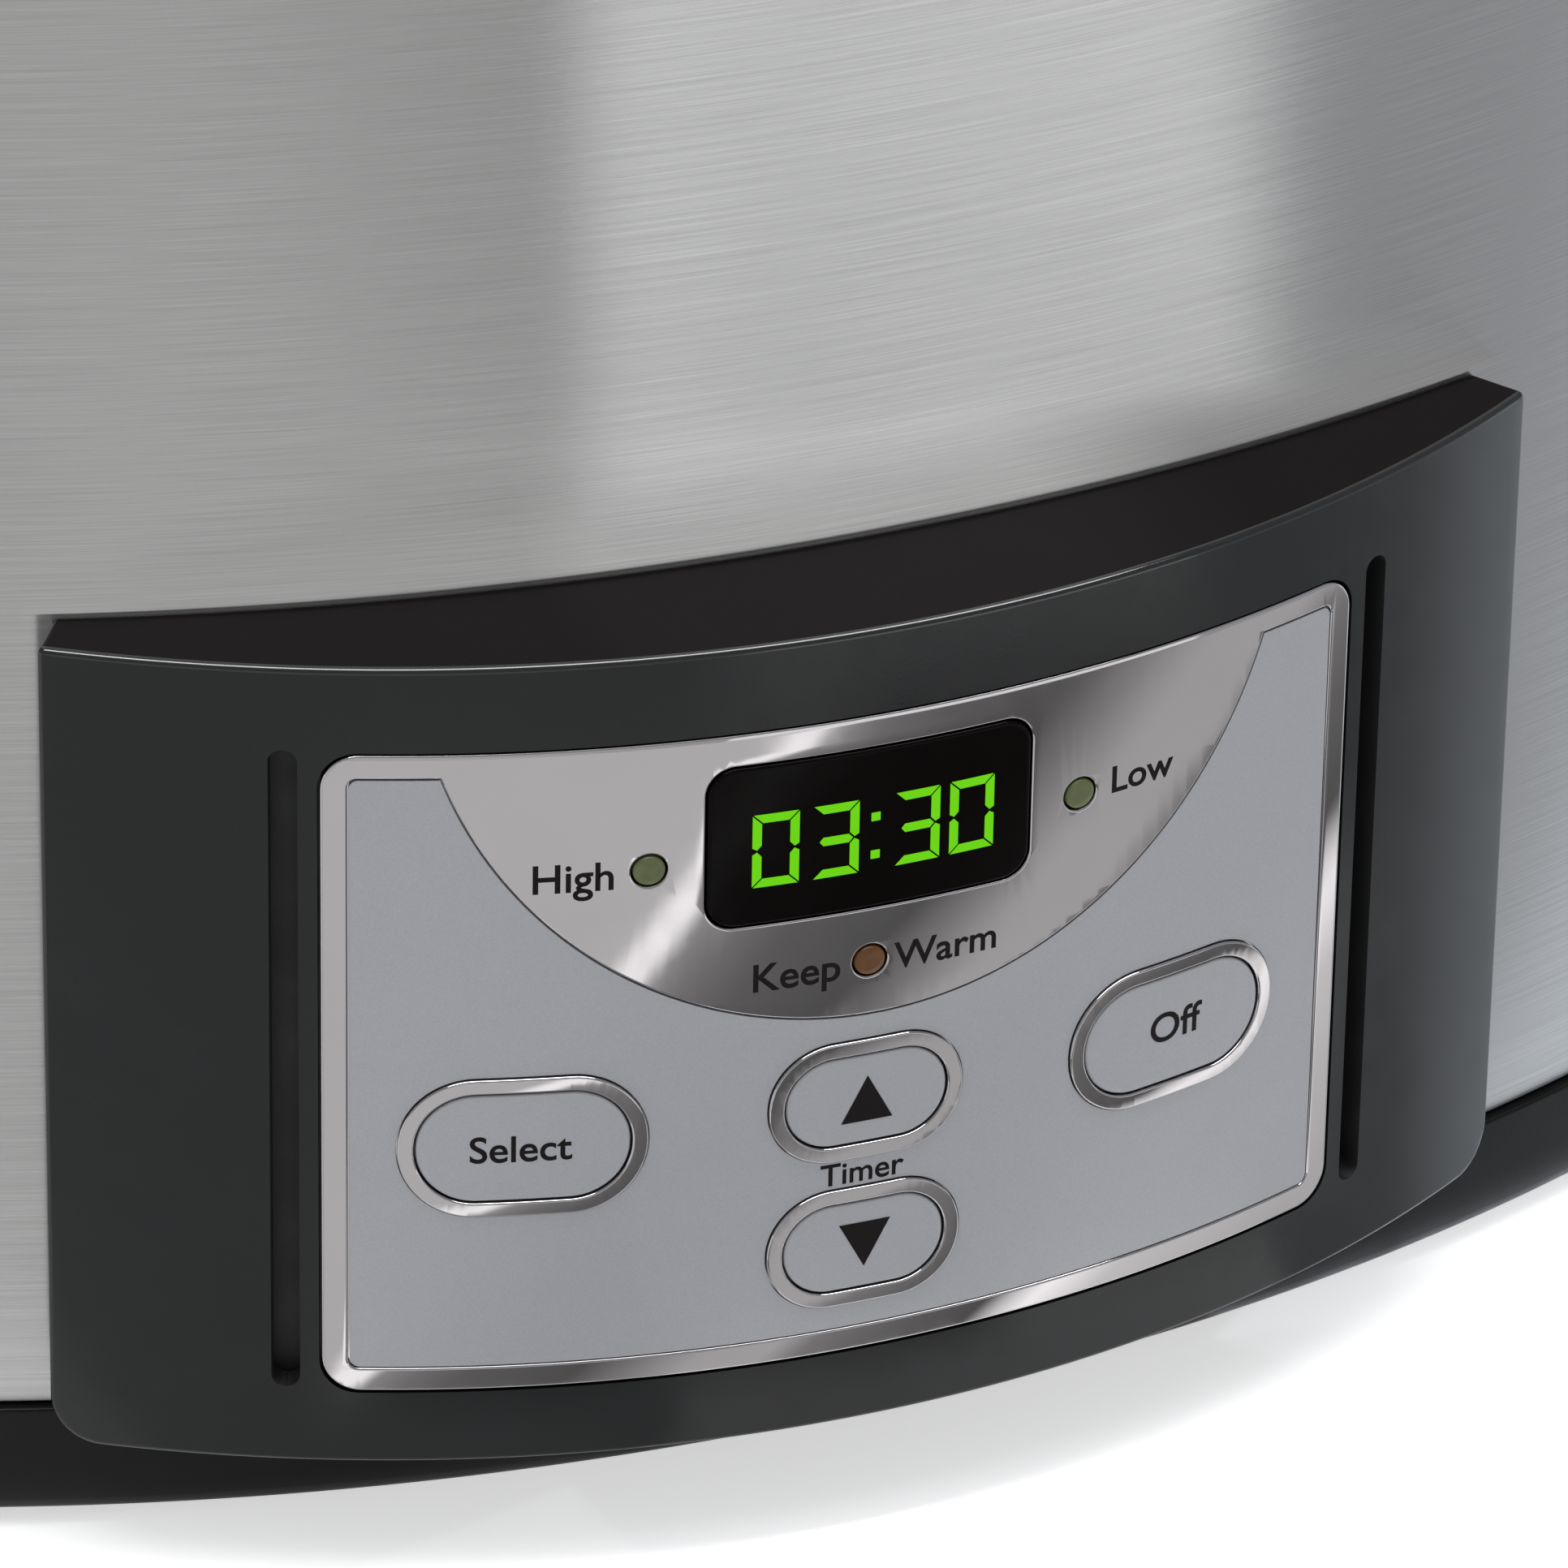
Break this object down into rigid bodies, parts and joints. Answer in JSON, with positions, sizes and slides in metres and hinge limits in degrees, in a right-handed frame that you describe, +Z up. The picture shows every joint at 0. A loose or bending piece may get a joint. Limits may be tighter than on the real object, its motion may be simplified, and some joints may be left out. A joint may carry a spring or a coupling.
{
  "type": "slow cooker",
  "caption": "Oval programmable slow cooker with a steel wall, bowed control panel, lift-out stoneware crock, sealed glass lid, lid latches and side handles.",
  "frame": {"origin": "centre of the outline seen from above, on the table that the feet stand on", "axes": "+Z up, -Y out of the control panel, +X to the right of someone who faces the panel, so the handles lie along X"},
  "size_m": [0.4486, 0.298, 0.2412],
  "materials": {
    "brushed_steel": "fine brushing that runs round the body",
    "black_plastic": "satin",
    "charcoal_plastic": "satin face with a glossy black top",
    "galvanised_sheet": "zinc coated sheet steel",
    "zinc_plated_steel": "zinc plated, half bright",
    "sensor_aluminium": "plain",
    "mica_band": "mica sheet",
    "glass_wool": "loose woven",
    "circuit_board": "solder resist",
    "component_black": "moulded",
    "polished_trim": "polished",
    "silver_overlay": "matt silver",
    "silver_button": "matt silver",
    "window_black": "gloss",
    "lamp_green": "frosted",
    "lamp_amber": "frosted",
    "black_stoneware": "gloss glaze",
    "lid_glass": "clear toughened",
    "foot_rubber": "matt",
    "grommet_rubber": "matt",
    "gasket_rubber": "matt"
  },
  "bodies": {
    "base": {"steel_wrap": "brushed_steel", "base_pan": "black_plastic", "bottom_plate": "galvanised_sheet", "foot_front_left": "foot_rubber", "foot_front_right": "foot_rubber", "foot_rear_left": "foot_rubber", "foot_rear_right": "foot_rubber", "cord_gland": "black_plastic", "heating_well": "galvanised_sheet", "heater_band": "mica_band", "insulation_blanket": "glass_wool", "thermal_fuse": "zinc_plated_steel", "centre_bolt": "zinc_plated_steel", "centre_nut": "zinc_plated_steel", "sensor_cup": "sensor_aluminium", "sensor_spring": "zinc_plated_steel", "power_board": "circuit_board", "control_board": "circuit_board", "relay": "component_black", "transformer": "component_black", "rim_collar": "black_plastic", "control_housing": "charcoal_plastic", "faceplate": "polished_trim", "overlay_sheet": "silver_overlay", "select_ring": "polished_trim", "off_ring": "polished_trim", "timer_up_ring": "polished_trim", "timer_down_ring": "polished_trim", "display_window": "window_black", "display_module": "component_black", "high_lamp": "lamp_green", "low_lamp": "lamp_green", "warm_lamp": "lamp_amber", "handle_left": "black_plastic", "handle_screw_lower_left": "zinc_plated_steel", "handle_screw_upper_left": "zinc_plated_steel", "handle_right": "black_plastic", "handle_screw_lower_right": "zinc_plated_steel", "handle_screw_upper_right": "zinc_plated_steel"},
    "crock": {"crock": "black_stoneware"},
    "lid": {"lid_glass": "lid_glass", "vent_grommet": "grommet_rubber", "lid_gasket": "gasket_rubber", "lid_ear_left": "black_plastic", "lid_ear_right": "black_plastic", "knob_escutcheon": "polished_trim", "lid_knob": "black_plastic", "knob_screw": "zinc_plated_steel"},
    "latch_left": {"latch_bail_left": "zinc_plated_steel", "latch_tab_left": "black_plastic"},
    "latch_right": {"latch_bail_right": "zinc_plated_steel", "latch_tab_right": "black_plastic"},
    "select_key": {"select_button": "silver_button"},
    "off_key": {"off_button": "silver_button"},
    "timer_up_key": {"timer_up_button": "silver_button"},
    "timer_down_key": {"timer_down_button": "silver_button"}
  },
  "joints": [
    {"name": "crock_lift", "type": "slide", "parent": "base", "child": "crock", "axis": [0, 0, 1], "range_m": [0, 0.16]},
    {"name": "lid_lift", "type": "slide", "parent": "crock", "child": "lid", "axis": [0, 0, 1], "range_m": [0, 0.09]},
    {"name": "latch_left_turn", "type": "hinge", "parent": "base", "child": "latch_left", "pos_m": [-0.187, 0.0064, 0.162], "axis": [0, 1, 0], "range_deg": [0, 90]},
    {"name": "latch_right_turn", "type": "hinge", "parent": "base", "child": "latch_right", "pos_m": [0.187, 0.0064, 0.162], "axis": [0, -1, 0], "range_deg": [0, 90]},
    {"name": "select_press", "type": "slide", "parent": "base", "child": "select_key", "axis": [0.2484, 0.9687, 0], "range_m": [0, 0.0008], "stiffness_N_per_m": 900, "springref_m": -0.0004},
    {"name": "off_press", "type": "slide", "parent": "base", "child": "off_key", "axis": [-0.2374, 0.9714, 0], "range_m": [0, 0.0008], "stiffness_N_per_m": 900, "springref_m": -0.0004},
    {"name": "timer_up_press", "type": "slide", "parent": "base", "child": "timer_up_key", "axis": [0.0057, 1, 0], "range_m": [0, 0.0008], "stiffness_N_per_m": 900, "springref_m": -0.0004},
    {"name": "timer_down_press", "type": "slide", "parent": "base", "child": "timer_down_key", "axis": [0.0057, 1, 0], "range_m": [0, 0.0008], "stiffness_N_per_m": 900, "springref_m": -0.0004}
  ]
}
